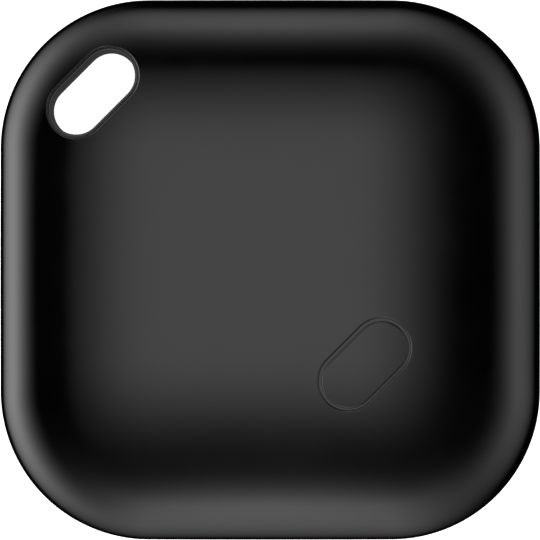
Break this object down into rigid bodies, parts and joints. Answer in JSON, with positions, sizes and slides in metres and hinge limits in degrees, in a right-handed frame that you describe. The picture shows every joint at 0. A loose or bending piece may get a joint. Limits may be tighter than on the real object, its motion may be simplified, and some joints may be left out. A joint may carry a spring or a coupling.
{
  "type": "bluetooth tracker tag",
  "caption": "Square black tracker tag with domed front, corner slot for a keyring, flush oval button, and a turn-to-open coin cell door in the flat rear.",
  "frame": {"origin": "middle of the flat rear face", "axes": "+Z out of the domed button face; the keyring slot is in the corner at -X +Y and the button lies towards the corner at +X -Y"},
  "size_m": [0.04, 0.04, 0.0083],
  "materials": {
    "shell": "fine satin moulded black",
    "button": "fine satin moulded black",
    "door": "fine satin moulded black",
    "silicone": "dark silicone rubber",
    "foam": "closed-cell foam",
    "black_resin": "moulded resin",
    "board": "green solder mask",
    "chip_ceramic": "sintered, tan",
    "gold_plate": "thin gold plate",
    "spring_steel": "plain sheet",
    "cell_steel": "nickel-plated",
    "cell_plastic": "moulded",
    "cathode": "pressed powder",
    "felt": "non-woven",
    "lithium": "soft dull metal",
    "sounder_brass": "rolled sheet",
    "sounder_ceramic": "silvered piezo ceramic",
    "adhesive": "acrylic tape"
  },
  "bodies": {
    "housing": {"front_shell": "shell", "rear_shell": "shell", "housing_gasket": "silicone", "switch_base": "black_resin", "switch_dome": "spring_steel", "switch_cover": "spring_steel", "main_board": "board", "bluetooth_chip": "black_resin", "main_crystal": "spring_steel", "clock_crystal": "spring_steel", "chip_capacitors": "chip_ceramic", "chip_resistors": "black_resin", "chip_inductor": "chip_ceramic", "chip_antenna": "chip_ceramic", "test_pads": "gold_plate", "board_screws": "spring_steel", "sounder_disc": "sounder_brass", "sounder_ceramic": "sounder_ceramic", "sounder_adhesive": "adhesive", "sounder_spring_outer": "gold_plate", "sounder_spring_inner": "gold_plate", "positive_contact": "spring_steel", "negative_contact": "spring_steel", "cell_can": "cell_steel", "cell_seal": "cell_plastic", "cell_cap": "cell_steel", "cell_cathode": "cathode", "cell_separator": "felt", "cell_anode": "lithium"},
    "button": {"button_cap": "button"},
    "switch": {"switch_plunger": "black_resin"},
    "door": {"battery_door": "door", "door_seal": "silicone", "door_pad": "foam"}
  },
  "joints": [
    {"name": "button_press", "type": "slide", "parent": "housing", "child": "button", "axis": [0, 0, -1], "range_m": [0, 0.0002], "stiffness_N_per_m": 8000},
    {"name": "switch_press", "type": "slide", "parent": "housing", "child": "switch", "axis": [0, 0, -1], "range_m": [0, 0.0002], "deforming": ["switch_dome"]},
    {"name": "door_turn", "type": "hinge", "parent": "housing", "child": "door", "pos_m": [0, 0, 0.001], "axis": [0, 0, -1], "range_deg": [0, 40]}
  ],
  "couplings": [
    {"joint": "switch_press", "follows": "button_press", "ratio": 1}
  ]
}
